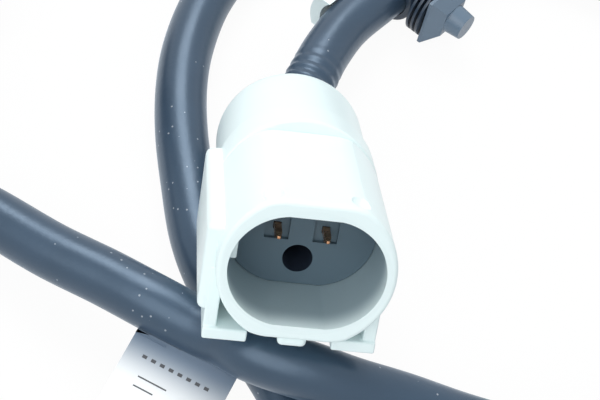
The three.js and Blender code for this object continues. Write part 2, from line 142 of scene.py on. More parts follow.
class PlugSettings(bpy.types.PropertyGroup):
    """Sizes and colours of the plug"""

    shell_radius: FloatProperty(
        name="Shell radius", description="Radius of the round body", default=8.5 * MM, unit="LENGTH")
    shell_flat: FloatProperty(
        name="Flat height", description="Axis to the flats", default=7.25 * MM, unit="LENGTH")
    flat_length: FloatProperty(
        name="Flat length", description="Mouth to the end of the flats", default=16.4 * MM, unit="LENGTH")
    shell_length: FloatProperty(
        name="Shell length", description="Mouth to the shoulder", default=20.6 * MM, unit="LENGTH")
    mouth_width: FloatProperty(
        name="Mouth width", description="Width painted shade inside the mouth", default=14.9 * MM, unit="LENGTH")
    mouth_height: FloatProperty(
        name="Mouth height", description="Height painted shade inside the mouth", default=11.4 * MM, unit="LENGTH")
    mouth_depth: FloatProperty(
        name="Mouth depth", description="Rim to the floor", default=8.4 * MM, unit="LENGTH")
    rail_left: FloatProperty(
        name="Left rail", description="Axis to the outside of the left rail", default=8.8 * MM, unit="LENGTH")
    rail_right: FloatProperty(
        name="Right rail", description="Axis to the outside of the right rail", default=8.0 * MM,
        unit="LENGTH")
    plate_outer: FloatProperty(
        name="Side plate", description="Axis to the face of the side plate", default=9.6 * MM, unit="LENGTH")
    cap_end: FloatProperty(
        name="Cap end", description="Mouth to the rear of the cap", default=32.6 * MM, unit="LENGTH")
    rail_bottom: FloatProperty(
        name="Rail drop", description="Axis to the underside of a rail", default=9.0 * MM, unit="LENGTH")
    pin_pitch: FloatProperty(
        name="Pin pitch", description="Distance between the pins", default=4.8 * MM, unit="LENGTH")
    cap_radius: FloatProperty(
        name="Cap radius", description="Radius of the rear cap", default=8.05 * MM, unit="LENGTH")
    cap_round: FloatProperty(
        name="Cap rounding", description="Rounding of the cap's rear edge", default=2.8 * MM, unit="LENGTH")
    shell_colour: FloatVectorProperty(
        name="Shell colour", description="Pale plastic", default=(0.84, 0.97, 0.975), subtype="COLOR")
    corner: FloatProperty(
        name="Body corner", description="Radius of the mouth section's ends", default=8.1 * MM, unit="LENGTH")
    mouth_corner: FloatProperty(
        name="Mouth corner", description="Radius of the mouth's ends", default=5.75 * MM, unit="LENGTH")
    # The mouth colour is painted shade, laid over the inner walls deep in the mouth.
    mouth_shade_colour: FloatVectorProperty(
        name="Mouth shade colour", description="Painted shade on the inner wall", default=(0.36, 0.46, 0.50), subtype="COLOR")
    floor_colour: FloatVectorProperty(
        name="Floor colour", description="Floor of the mouth", default=(0.105, 0.16, 0.20), subtype="COLOR")
    pin_colour: FloatVectorProperty(
        name="Pin colour", description="Plated pins", default=(0.62, 0.33, 0.19), subtype="COLOR")


class LeadSettings(bpy.types.PropertyGroup):
    """Sizes and colours of the lead and what it carries"""

    radius: FloatProperty(
        name="Radius", description="Radius of the rubber sheath", default=3.0 * MM, unit="LENGTH")
    clip_outer: FloatProperty(
        name="Clip radius", description="Outside of the clip's band", default=3.9 * MM, unit="LENGTH")
    clip_length: FloatProperty(
        name="Clip length", description="Length of the clip's band", default=6.4 * MM, unit="LENGTH")
    sheath_colour: FloatVectorProperty(
        name="Sheath colour", description="Slate rubber", default=(0.024, 0.046, 0.078), subtype="COLOR")
    speck_colour: FloatVectorProperty(
        name="Speck colour", description="Dust on the rubber", default=(0.30, 0.33, 0.37), subtype="COLOR")
    clip_colour: FloatVectorProperty(
        name="Clip colour", description="Clip plastic", default=(0.13, 0.19, 0.26), subtype="COLOR")
    label_colour: FloatVectorProperty(
        name="Label colour", description="Label paper", default=(0.88, 0.91, 0.92), subtype="COLOR")


class HeadSettings(bpy.types.PropertyGroup):
    """Sizes and colours of the sensor head"""

    flange: FloatProperty(
        name="Flange", description="Thickness of the flat body", default=9.2 * MM, unit="LENGTH")
    height: FloatProperty(
        name="Height", description="Table to the top of the nose", default=30.5 * MM, unit="LENGTH")
    nose_radius: FloatProperty(
        name="Nose radius", description="Radius of the nose", default=7.0 * MM, unit="LENGTH")
    ear_radius: FloatProperty(
        name="Ear radius", description="Radius of the ear", default=7.0 * MM, unit="LENGTH")
    ear_offset: FloatProperty(
        name="Ear offset", description="Nose to the bolt hole", default=16.5 * MM, unit="LENGTH")
    body_colour: FloatVectorProperty(
        name="Body colour", description="Black plastic", default=(0.028, 0.031, 0.035), subtype="COLOR")
    bush_colour: FloatVectorProperty(
        name="Bush colour", description="Steel sleeve", default=(0.56, 0.57, 0.58), subtype="COLOR")


class StageSettings(bpy.types.PropertyGroup):
    """The table and the lamps"""

    table_size: FloatProperty(
        name="Table size", description="Side of the white table", default=4.0, unit="LENGTH")
    world_strength: FloatProperty(
        name="World strength", description="Light from all round", default=0.54)
    key_power: FloatProperty(
        name="Key power", description="Lamp behind and to the left", default=1.5, unit="POWER")
    fill_power: FloatProperty(
        name="Fill power", description="Lamp in front on the left", default=1.65, unit="POWER")


def deselect_all():
    bpy.ops.object.select_all(action="DESELECT")


def make_active(piece):
    deselect_all()
    piece.select_set(True)
    bpy.context.view_layer.objects.active = piece


def settle(piece):
    make_active(piece)
    bpy.ops.object.transform_apply(location=True, rotation=True, scale=True)


def start_edit(piece, action="SELECT"):
    """Enters edit mode on one piece with all of it selected, or nothing."""
    make_active(piece)
    bpy.ops.object.mode_set(mode="EDIT")
    bpy.ops.mesh.select_all(action=action)


def leave_edit():
    bpy.ops.object.mode_set(mode="OBJECT")


def shave(point, normal):
    """In edit mode, takes off all that lies beyond a plane and closes the cut."""
    bpy.ops.mesh.select_all(action="SELECT")
    bpy.ops.mesh.bisect(plane_co=point, plane_no=normal, use_fill=True, clear_outer=True,
                        threshold=WELD_REACH)


def face_outwards():
    bpy.ops.mesh.select_all(action="SELECT")
    bpy.ops.mesh.normals_make_consistent(inside=False)


def bar(name, radius, low, high, across=(0.0, 0.0), axis="Y", end_radius=None, sides=96):
    """A round bar between two stations on an axis, with across as its offset in the other two."""
    deselect_all()
    middle = (low + high) / 2
    places = {
        "X": ((middle, across[0], across[1]), (0.0, math.pi / 2, 0.0)),
        "Y": ((across[0], middle, across[1]), (-math.pi / 2, 0.0, 0.0)),
        "Z": ((across[0], across[1], middle), (0.0, 0.0, 0.0)),
    }
    location, rotation = places[axis]
    bpy.ops.mesh.primitive_cone_add(
        vertices=sides,
        radius1=radius,
        radius2=radius if end_radius is None else end_radius,
        depth=high - low,
        location=location,
        rotation=rotation,
    )
    piece = bpy.context.active_object
    piece.name = name
    settle(piece)
    return piece


def block(name, x, y, z):
    deselect_all()
    middle = [(pair[0] + pair[1]) / 2 for pair in (x, y, z)]
    size = [abs(pair[1] - pair[0]) for pair in (x, y, z)]
    bpy.ops.mesh.primitive_cube_add(size=1.0, location=middle, scale=size)
    piece = bpy.context.active_object
    piece.name = name
    settle(piece)
    return piece


def combine(piece, other, operation, careful=False):
    """Adds the other solid to the piece, cuts it out, or keeps what they share.

    careful also sorts out faces that just touch, which takes longer.
    """
    make_active(piece)
    modifier = piece.modifiers.new("combine", "BOOLEAN")
    modifier.operation = operation
    modifier.solver = "EXACT"
    modifier.use_self = careful
    modifier.object = other
    bpy.ops.object.modifier_apply(modifier=modifier.name)
    mesh = other.data
    bpy.data.objects.remove(other)
    bpy.data.meshes.remove(mesh)
    return piece


def add_to(piece, other, careful=False):
    return combine(piece, other, "UNION", careful)


def cut(piece, other):
    return combine(piece, other, "DIFFERENCE")


def round_edges(piece, width, segments=3, angle=30.0):
    """Merges what lies together, drops needless edges and bevels the sharp ones."""
    start_edit(piece)
    bpy.ops.mesh.remove_doubles(threshold=0.005 * MM)
    bpy.ops.mesh.dissolve_limited(angle_limit=math.radians(0.5))
    leave_edit()
    modifier = piece.modifiers.new("rounding", "BEVEL")
    modifier.width = width
    modifier.segments = segments
    modifier.limit_method = "ANGLE"
    modifier.angle_limit = math.radians(angle)
    modifier.miter_outer = "MITER_ARC"
    bpy.ops.object.modifier_apply(modifier=modifier.name)


def double_round(name, width, height, low, high, corner):
    """A round bar pulled apart across its middle, then sliced flat above and below."""
    offset = width / 2 - corner
    piece = bar(name, corner, low, high)
    for side in (-1, 1):
        for vertex in piece.data.vertices:
            vertex.select = side * vertex.co.x > 0.01 * MM
        pull_selected(piece, (side * offset, 0.0, 0.0))
    start_edit(piece)
    for side in (-1, 1):
        shave((0.0, 0.0, side * height / 2), (0.0, 0.0, side))
    face_outwards()
    leave_edit()
    return piece


def soften_corners(piece, flat, corner, half_width, radius):
    """Shaves the four long corners between the flats and the round sides to a soft turn."""
    turn = math.acos(flat / corner)
    corner_x = half_width - corner + math.sqrt(corner ** 2 - flat ** 2)
    start_edit(piece)
    for across in (-1, 1):
        for above in (-1, 1):
            bisector = Vector((across * math.sin(turn / 2), 0.0, above * math.cos(turn / 2)))
            corner_point = Vector((across * corner_x, 0.0, above * flat))
            centre = corner_point - bisector * radius / math.cos(turn / 2)
            for share in (0.2, 0.4, 0.6, 0.8):
                lean = turn * share
                normal = Vector((across * math.sin(lean), 0.0, above * math.cos(lean)))
                shave(centre + normal * radius, normal)
    face_outwards()
    leave_edit()


def pull_selected(piece, distance):
    """Moves the vertices marked on the mesh."""
    chosen = [vertex.index for vertex in piece.data.vertices if vertex.select]
    start_edit(piece, "DESELECT")
    bpy.ops.mesh.select_mode(type="VERT")
    leave_edit()
    for index in chosen:
        piece.data.vertices[index].select = True
    bpy.ops.object.mode_set(mode="EDIT")
    bpy.ops.transform.translate(value=distance)
    leave_edit()


def smooth(piece, angle=32.0):
    make_active(piece)
    bpy.ops.object.shade_smooth_by_angle(angle=math.radians(angle))
    modifier = piece.modifiers.new("even shading", "WEIGHTED_NORMAL")
    modifier.keep_sharp = True
    bpy.ops.object.modifier_apply(modifier=modifier.name)


def dress(piece, material):
    piece.data.materials.clear()
    piece.data.materials.append(material)


def place(piece, matrix, material, slot, *nodes):
    """Puts a finished piece in the model's frame, in place of its nodes."""
    smooth(piece)
    piece.matrix_world = matrix
    settle(piece)
    dress(piece, material)
    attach(piece, BODY)
    if nodes:
        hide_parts(*nodes)


def new_group(name, inputs, outputs):
    group = bpy.data.node_groups.new(name, "ShaderNodeTree")
    for socket, kind, default in inputs:
        item = group.interface.new_socket(socket, in_out="INPUT", socket_type=kind)
        if default is not None:
            item.default_value = default
    for socket, kind in outputs:
        group.interface.new_socket(socket, in_out="OUTPUT", socket_type=kind)
    entry = group.nodes.new("NodeGroupInput")
    leave = group.nodes.new("NodeGroupOutput")
    return group, entry, leave


def feed(tree, socket, value):
    """Gives a socket a plain value, or a link from another node."""
    if isinstance(value, bpy.types.NodeSocket):
        tree.links.new(value, socket)
    else:
        socket.default_value = value


def calculate(tree, operation, *values):
    """One step of arithmetic on sockets or numbers."""
    node = tree.nodes.new("ShaderNodeMath")
    node.operation = operation
    for socket, value in zip(node.inputs, values):
        feed(tree, socket, value)
    return node.outputs[0]


def noise(tree, vector, scale, detail):
    texture = tree.nodes.new("ShaderNodeTexNoise")
    feed(tree, texture.inputs["Vector"], vector)
    feed(tree, texture.inputs["Scale"], scale)
    texture.inputs["Detail"].default_value = detail
    return texture.outputs["Fac"]


def ramp(tree, value, low, high):
    """0 at low, 1 at high, with a soft turn at both."""
    reach = tree.nodes.new("ShaderNodeMapRange")
    reach.interpolation_type = "SMOOTHSTEP"
    reach.inputs["From Min"].default_value = low
    reach.inputs["From Max"].default_value = high
    tree.links.new(value, reach.inputs["Value"])
    return reach.outputs["Result"]


def parts_in_frame(tree, vector, location, rotation):
    """The X, Y and Z of a point in the frame that stands at a place and a turn."""
    to_frame = tree.nodes.new("ShaderNodeMapping")
    to_frame.vector_type = "TEXTURE"
    to_frame.inputs["Location"].default_value = location
    to_frame.inputs["Rotation"].default_value = rotation
    tree.links.new(vector, to_frame.inputs["Vector"])
    parts = tree.nodes.new("ShaderNodeSeparateXYZ")
    tree.links.new(to_frame.outputs["Vector"], parts.inputs["Vector"])
    return parts.outputs


def laid_over(tree, base, mask, colour):
    """A colour laid over another where the mask says so."""
    mix = tree.nodes.new("ShaderNodeMix")
    mix.data_type = "RGBA"
    mix.inputs["B"].default_value = (*colour, 1.0)
    tree.links.new(mask, mix.inputs["Factor"])
    tree.links.new(base, mix.inputs["A"])
    return mix.outputs["Result"]


def group_at(tree, name, vector):
    """Places a shared group in a material and gives it the points of the surface."""
    node = tree.nodes.new("ShaderNodeGroup")
    node.node_tree = GROUPS[name]
    tree.links.new(vector, node.inputs["Vector"])
    return node


def white_rays(tree):
    """1 for rays that see the surroundings as pure white: the camera's, and those in a reflection."""
    path = tree.nodes.new("ShaderNodeLightPath")
    either = calculate(tree, "ADD", path.outputs["Is Camera Ray"], path.outputs["Is Glossy Ray"])
    any_of = calculate(tree, "ADD", either, path.outputs["Is Transmission Ray"])
    any_of.node.use_clamp = True
    return any_of


def specks_group():
    """Small pale specks at a given size, as a mask."""
    group, entry, leave = new_group(
        "dust specks",
        [("Vector", "NodeSocketVector", None), ("Scale", "NodeSocketFloat", 900.0),
         ("Amount", "NodeSocketFloat", 0.10)],
        [("Mask", "NodeSocketFloat")],
    )
    vector = entry.outputs["Vector"]
    cells = group.nodes.new("ShaderNodeTexVoronoi")
    group.links.new(vector, cells.inputs["Vector"])
    group.links.new(entry.outputs["Scale"], cells.inputs["Scale"])
    near = calculate(group, "LESS_THAN", cells.outputs["Distance"], entry.outputs["Amount"])
    chosen = calculate(group, "GREATER_THAN", noise(group, vector, 90.0, 3.0), 0.52)
    group.links.new(calculate(group, "MULTIPLY", near, chosen), leave.inputs["Mask"])
    return group


def grain_group():
    """Uneven sheen and a fine grain, as a roughness and a height."""
    group, entry, leave = new_group(
        "moulded grain",
        [("Vector", "NodeSocketVector", None), ("Roughness", "NodeSocketFloat", 0.4),
         ("Spread", "NodeSocketFloat", 0.1), ("Scale", "NodeSocketFloat", 1500.0)],
        [("Roughness", "NodeSocketFloat"), ("Height", "NodeSocketFloat"), ("Shade", "NodeSocketFloat")],
    )
    vector = entry.outputs["Vector"]
    broad = noise(group, vector, 160.0, 4.0)
    centred = calculate(group, "SUBTRACT", broad, 0.5)
    spread = calculate(group, "MULTIPLY_ADD", centred, entry.outputs["Spread"], entry.outputs["Roughness"])
    group.links.new(spread, leave.inputs["Roughness"])
    group.links.new(noise(group, vector, entry.outputs["Scale"], 2.0), leave.inputs["Height"])
    group.links.new(broad, leave.inputs["Shade"])
    return group


def mouth_shade_group():
    """Painted shade inside the plug's mouth: how far inside a point lies, 0 at the rim and outside, 1 deep
    in.
    """
    group, entry, leave = new_group(
        "painted shade inside the mouth", [("Vector", "NodeSocketVector", None)], [("Mask", "NodeSocketFloat")])
    parts = parts_in_frame(group, entry.outputs["Vector"], PLUG_PLACE + SHIFT, (-PLUG_TILT, 0.0, 0.0))
    squares = []
    for axis, reach in (("X", 8.0 * MM), ("Z", 6.5 * MM)):
        scaled = calculate(group, "DIVIDE", parts[axis], reach)
        squares.append(calculate(group, "MULTIPLY", scaled, scaled))
    inside = calculate(group, "LESS_THAN", calculate(group, "ADD", *squares), 1.0)
    depth = ramp(group, parts["Y"], -0.4 * MM, 3.2 * MM)
    group.links.new(calculate(group, "MULTIPLY", inside, depth), leave.inputs["Mask"])
    return group


def shade_band_group(name, place_at, heading, out, near):
    """A mask for painted shade across the lead in a frame beside it: 0 at the outer reach, 1 at the nearer
    one.
    """
    group, entry, leave = new_group(
        name, [("Vector", "NodeSocketVector", None)], [("Mask", "NodeSocketFloat")])
    parts = parts_in_frame(group, entry.outputs["Vector"], place_at + SHIFT, (0.0, 0.0, heading))
    group.links.new(ramp(group, parts["Y"], out, near), leave.inputs["Mask"])
    return group


def finish_of(name, colour, roughness, metallic=0.0, spread=0.1, bump=0.05, shade=0.08, specks=None,
              shade_mask=None):
    """A material whose colour, roughness and grain vary a little over the surface.

    The mask argument names a group and the colour of painted shade that its mask lays over the rest.
    """
    material = bpy.data.materials.new(name)
    material.use_nodes = True
    tree = material.node_tree
    nodes, links = tree.nodes, tree.links
    shader = nodes["Principled BSDF"]
    shader.inputs["Metallic"].default_value = metallic
    points = nodes.new("ShaderNodeTexCoord").outputs["Object"]
    grain = group_at(tree, "grain", points)
    grain.inputs["Roughness"].default_value = roughness
    grain.inputs["Spread"].default_value = spread
    links.new(grain.outputs["Roughness"], shader.inputs["Roughness"])
    relief = nodes.new("ShaderNodeBump")
    relief.inputs["Strength"].default_value = bump
    relief.inputs["Distance"].default_value = 0.1 * MM
    links.new(grain.outputs["Height"], relief.inputs["Height"])
    links.new(relief.outputs["Normal"], shader.inputs["Normal"])
    tone = nodes.new("ShaderNodeMix")
    tone.data_type = "RGBA"
    tone.inputs["A"].default_value = (*[channel * (1 - shade) for channel in colour], 1.0)
    tone.inputs["B"].default_value = (*[min(1.0, channel * (1 + shade)) for channel in colour], 1.0)
    links.new(grain.outputs["Shade"], tone.inputs["Factor"])
    result = tone.outputs["Result"]
    if specks:
        result = laid_over(tree, result, group_at(tree, "specks", points).outputs["Mask"], specks)
    if shade_mask:
        group_name, painted_shade_colour = shade_mask
        result = laid_over(tree, result, group_at(tree, group_name, points).outputs["Mask"], painted_shade_colour)
    links.new(result, shader.inputs["Base Color"])
    return material


GROUPS = {}
FINISHES = {}


def make_finishes(scene):
    plug, lead, head = scene.sensor_plug, scene.sensor_lead, scene.sensor_head
    GROUPS["specks"] = specks_group()
    GROUPS["grain"] = grain_group()
    GROUPS["mouth"] = mouth_shade_group()
    # Painted shade on the label paper, darker towards the lead.
    GROUPS["fold"] = shade_band_group("painted shade near the fold", LABEL_PLACE, LABEL_HEADING, -8.0 * MM, -3.2 * MM)
    # Painted shade on the clip's band and ribs, darker than its nose.
    GROUPS["ribs"] = shade_band_group("painted shade on the clip ribs", CLIP_PLACE, CLIP_HEADING, -6.15 * MM, -5.95 * MM)
    FINISHES.update({
        "pale_plastic": finish_of("pale moulded plastic", plug.shell_colour, 0.34, spread=0.12, shade=0.03),
        # The plug shell carries painted shade over the inner walls of its mouth.
        "plug_shell": finish_of("pale plug plastic", plug.shell_colour, 0.34, spread=0.12, shade=0.03,
                                shade_mask=("mouth", tuple(plug.mouth_shade_colour))),
        # Near-black painted shade for the faces inside the key hole.
        "hollow": finish_of("painted shade in the key hole", (0.022, 0.034, 0.060), 0.6),
        "carrier_plastic": finish_of("grey carrier plastic", plug.floor_colour, 0.5, shade=0.06),
        "pin_metal": finish_of("plated contact", plug.pin_colour, 0.28, metallic=1.0, bump=0.02),
        "black_rubber": finish_of("slate rubber sheath", lead.sheath_colour, 0.34, spread=0.2,
                                  bump=0.16, shade=0.2, specks=lead.speck_colour),
        "seal_rubber": finish_of("soft seal rubber", (0.17, 0.035, 0.02), 0.6),
        "core_insulation": finish_of("wire insulation", (0.05, 0.075, 0.11), 0.5),
        # The clip plastic carries painted shade over its band and ribs.
        "clip_plastic": finish_of("clip plastic", lead.clip_colour, 0.32, spread=0.15, bump=0.08,
                                  shade_mask=("ribs", RIB_PAINTED_SHADE)),
        # The label paper carries painted shade, darker towards the lead.
        "label_paper": finish_of("label paper", lead.label_colour, 0.55, bump=0.03, shade=0.02,
                                 shade_mask=("fold", FOLD_PAINTED_SHADE)),
        "black_plastic": finish_of("black glass-filled plastic", head.body_colour, 0.5, bump=0.2, shade=0.15),
        "sleeve_metal": finish_of("turned steel sleeve", head.bush_colour, 0.3, metallic=1.0),
        "chip_plastic": finish_of("black epoxy", (0.012, 0.012, 0.014), 0.4),
        "magnet_metal": finish_of("sintered magnet", (0.15, 0.15, 0.16), 0.5, metallic=0.9),
        "print_grey": finish_of("grey print", (0.06, 0.065, 0.075), 0.5, bump=0.0),
    })
    rubber = FINISHES["black_rubber"].node_tree.nodes["Principled BSDF"]
    rubber.inputs["IOR"].default_value = 1.75
    rubber.inputs["Specular Tint"].default_value = COOL_TINT
    rubber.inputs["Sheen Weight"].default_value = 0.3
    rubber.inputs["Sheen Roughness"].default_value = 0.4
    rubber.inputs["Sheen Tint"].default_value = COOL_TINT


class SENSOR_OT_plug_shell(bpy.types.Operator):
    """Round shell with flats, side rails, latch nose and open mouth"""

    bl_idname = "sensor.plug_shell"
    bl_label = "Plug shell"

    def execute(self, context):
        plug = context.scene.sensor_plug
        length, flat = plug.shell_length, plug.shell_flat
        shell = double_round("plug_shell", 2 * plug.shell_radius, 2 * flat, 0.0,
                             plug.flat_length + 0.1 * MM, plug.corner)
        soften_corners(shell, flat, plug.corner, plug.shell_radius, 5.5 * MM)
        round_edges(shell, 0.5 * MM, 5, 40.0)
        band = bar("round band", plug.shell_radius, plug.flat_length, length, sides=144)
        round_edges(band, 0.35 * MM, 3, 40.0)
        add_to(shell, band)
        add_to(shell, self.rail(plug, -plug.rail_left), careful=True)
        add_to(shell, self.rail(plug, plug.rail_right), careful=True)
        add_to(shell, self.side_plate(plug))
        nose = block("latch nose", (-1.7 * MM, 1.1 * MM), (0.5 * MM, 4.6 * MM), (-8.3 * MM, -flat + 0.3 * MM))
        round_edges(nose, 0.5 * MM, 4, 40.0)
        add_to(shell, nose)
        cut(shell, double_round("mouth", plug.mouth_width, plug.mouth_height, -2 * MM, 18.1 * MM,
                                plug.mouth_corner))
        cut(shell, bar("seal bore", 5.1 * MM, 17.6 * MM, length + MM))
        for x in (-4.3 * MM, 4.3 * MM):
            cut(shell, self.dent(x))
        round_edges(shell, 0.2 * MM, 3, 44.0)
        place(shell, PLUG_FRAME, FINISHES["plug_shell"], "pale_plastic", "connector_shell")
        rib = block("key_rib", (-7.5 * MM, -6.5 * MM), (2.6 * MM, plug.mouth_depth - 0.1 * MM),
                    (-0.5 * MM, 1.6 * MM))
        round_edges(rib, 0.15 * MM, 2, 40.0)
        place(rib, PLUG_FRAME, FINISHES["pale_plastic"], "pale_plastic")
        return {"FINISHED"}

    def rail(self, plug, outer):
        """Web beside the body with a foot turned in under it, stepped at its rear."""
        side = math.copysign(1.0, outer)
        bottom, step_at = -plug.rail_bottom, 16.2 * MM
        web = sorted((outer, outer - side * 1.3 * MM))
        foot = sorted((outer, outer - side * 4.3 * MM))
        rail = block("rail web", web, (2.23 * MM, plug.shell_length - 0.93 * MM), (bottom, -1.37 * MM))
        cut(rail, block("rail step", (foot[0] - MM, foot[1] + MM), (step_at, 22 * MM),
                        (bottom - MM, bottom + 2.6 * MM)))
        add_to(rail, block("rail foot", foot, (1.8 * MM, step_at), (bottom, bottom + 1.2 * MM)))
        round_edges(rail, 0.3 * MM, 4, 40.0)
        return rail

    def side_plate(self, plug):
        """Plate on the left side, its rear end slanted in towards the body."""
        length, outer = plug.shell_length, plug.plate_outer
        plate = block("side plate", (-outer, -7.43 * MM), (2.31 * MM, length - 0.17 * MM),
                      (-6.23 * MM, 3.0 * MM))
        for vertex in plate.data.vertices:
            vertex.select = vertex.co.y > length - 0.5 * MM and vertex.co.x < -9 * MM
        pull_selected(plate, (0.0, -0.4 * MM, 0.0))
        round_edges(plate, 0.7 * MM, 5, 40.0)
        return plate

    def dent(self, x):
        deselect_all()
        bpy.ops.mesh.primitive_uv_sphere_add(segments=32, ring_count=20, radius=1.3 * MM,
                                             location=(x, 1.7 * MM, 7.75 * MM))
        piece = bpy.context.active_object
        piece.name = "dent"
        settle(piece)
        return piece


class SENSOR_OT_terminals(bpy.types.Operator):
    """Floor of the mouth with its key hole and pockets, and the two pins"""

    bl_idname = "sensor.terminals"
    bl_label = "Terminals"

    def execute(self, context):
        plug = context.scene.sensor_plug
        depth, play = plug.mouth_depth, 0.06 * MM
        rear = depth + CARRIER_LENGTH
        carrier = double_round("terminal_carrier", plug.mouth_width - 2 * play, plug.mouth_height - 2 * play,
                               depth, rear, plug.mouth_corner - play)
        cut(carrier, bar("key hole", KEY_HOLE_RADIUS, depth - MM, depth + 7 * MM, (0.0, -KEY_HOLE_DROP),
                         sides=48))
        for side in (-1, 1):
            x = side * plug.pin_pitch / 2
            cut(carrier, block("pocket", (x - 1.2 * MM, x + 1.2 * MM), (depth - MM, depth + 0.5 * MM),
                               (-0.9 * MM, 1.5 * MM)))
            cut(carrier, block("slot", (x - 0.4 * MM, x + 0.4 * MM), (depth, depth + 11 * MM),
                               (-0.1 * MM, 0.7 * MM)))
        place(carrier, PLUG_FRAME, FINISHES["carrier_plastic"], "carrier_plastic", "terminal_carrier")
        self.paint_hole_shade(carrier, depth)
        for side, name in ((-1, "left"), (1, "right")):
            x = side * plug.pin_pitch / 2
            pin = block(f"pin_{name}", (x - 0.35 * MM, x + 0.35 * MM), (PIN_TIP, rear),
                        (-0.05 * MM, 0.65 * MM))
            self.narrow_tip(pin, Vector((x, PIN_TIP, 0.3 * MM)))
            round_edges(pin, 0.08 * MM, 2, 40.0)
            place(pin, PLUG_FRAME, FINISHES["pin_metal"], "pin_metal", f"terminal_pin_{name}")
        return {"FINISHED"}

    def paint_hole_shade(self, carrier, depth):
        """Gives the faces inside the key hole their own near-black material, which is painted shade."""
        carrier.data.materials.append(FINISHES["hollow"])
        to_plug = PLUG_FRAME.inverted()
        for face in carrier.data.polygons:
            centre = to_plug @ face.center
            off_axis = math.hypot(centre.x, centre.z + KEY_HOLE_DROP)
            if off_axis < KEY_HOLE_RADIUS + 0.1 * MM and depth + 0.1 * MM < centre.y < depth + 8 * MM:
                face.material_index = 1

    def narrow_tip(self, pin, tip):
        """Tapers the end face of a pin after splitting a short stretch off behind it."""
        start_edit(pin)
        bpy.ops.mesh.bisect(plane_co=(0.0, tip.y + 0.7 * MM, 0.0), plane_no=(0.0, 1.0, 0.0))
        leave_edit()
        for vertex in pin.data.vertices:
            if abs(vertex.co.y - tip.y) < 0.01 * MM:
                vertex.co.x = tip.x + 0.45 * (vertex.co.x - tip.x)
                vertex.co.z = tip.z + 0.45 * (vertex.co.z - tip.z)


class SENSOR_OT_rear_cap(bpy.types.Operator):
    """Round cap behind the shell with a well rounded rear edge"""

    bl_idname = "sensor.rear_cap"
    bl_label = "Rear cap"

    def execute(self, context):
        plug = context.scene.sensor_plug
        end = plug.cap_end
        cap = bar("rear_cap", plug.cap_radius, 20.8 * MM, end, sides=144)
        start_edit(cap, "DESELECT")
        leave_edit()
        for edge in cap.data.edges:
            edge.select = all(abs(cap.data.vertices[i].co.y - end) < 0.01 * MM for i in edge.vertices)
        bpy.ops.object.mode_set(mode="EDIT")
        bpy.ops.mesh.select_mode(type="EDGE")
        bpy.ops.mesh.bevel(offset=plug.cap_round, segments=10, affect="EDGES")
        leave_edit()
        cut(cap, bar("seal room", 5.0 * MM, 19.8 * MM, end - 2 * MM))
        cut(cap, bar("lead hole", LEAD_HOLE_RADIUS, end - 2.5 * MM, end + MM))
        round_edges(cap, 0.25 * MM, 3, 40.0)
        place(cap, PLUG_FRAME, FINISHES["pale_plastic"], "pale_plastic", "rear_cap")
        return {"FINISHED"}


def through_points(points, steps):
    """A smooth line through the points, closer where they are closer, as a list of points."""
    ends = [points[0] * 2 - points[1], *points, points[-1] * 2 - points[-2]]
    line = []
    for index in range(1, len(ends) - 2):
        p0, p1, p2, p3 = ends[index - 1:index + 3]
        t0 = 0.0
        t1 = t0 + math.sqrt((p1 - p0).length)
        t2 = t1 + math.sqrt((p2 - p1).length)
        t3 = t2 + math.sqrt((p3 - p2).length)
        for step in range(steps):
            t = t1 + (t2 - t1) * step / steps
            a = p0.lerp(p1, (t - t0) / (t1 - t0))
            b = p1.lerp(p2, (t - t1) / (t2 - t1))
            c = p2.lerp(p3, (t - t2) / (t3 - t2))
            d = a.lerp(b, (t - t0) / (t2 - t0))
            e = b.lerp(c, (t - t1) / (t3 - t1))
            line.append(d.lerp(e, (t - t1) / (t2 - t1)))
    line.append(points[-1])
    return line


class SENSOR_OT_lead(bpy.types.Operator):
    """The rubber lead along its whole route"""

    bl_idname = "sensor.lead"
    bl_label = "Lead"

    def execute(self, context):
        lead = context.scene.sensor_lead
        inside = [PLUG_FRAME @ Vector((0.0, station * MM, 0.0)) for station in LEAD_IN_PLUG]
        outside = [Vector(point) * MM + SHIFT for point in LEAD_ROUTE]
        line = through_points(inside + outside, 16)
        deselect_all()
        bpy.ops.curve.primitive_nurbs_path_add()
        piece = context.active_object
        piece.name = "lead"
        curve = piece.data
        curve.splines.clear()
        spline = curve.splines.new("POLY")
        spline.points.add(len(line) - 1)
        travelled = 0.0
        previous = line[0]
        for point, spot in zip(spline.points, line):
            travelled += (spot - previous).length
            previous = spot
            point.co = (*spot, 1.0)
            point.radius = self.ripple(travelled)
        spline.use_smooth = True
        curve.dimensions = "3D"
        curve.bevel_depth = lead.radius
        curve.bevel_resolution = 10
        curve.use_fill_caps = True
        curve.materials.append(FINISHES["black_rubber"])
        piece.location = (0.0, 0.0, 0.0)
        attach(piece, BODY)
        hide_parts("cable")
        return {"FINISHED"}

    def ripple(self, travelled):
        """Small creases in the sheath where it bends behind the cap."""
        start, end, pitch = 17.0 * MM, 25.0 * MM, 1.4 * MM
        if not start < travelled < end:
            return 1.0
        fade = math.sin(math.pi * (travelled - start) / (end - start))
        return 1.0 + 0.035 * fade * math.sin(2 * math.pi * travelled / pitch)


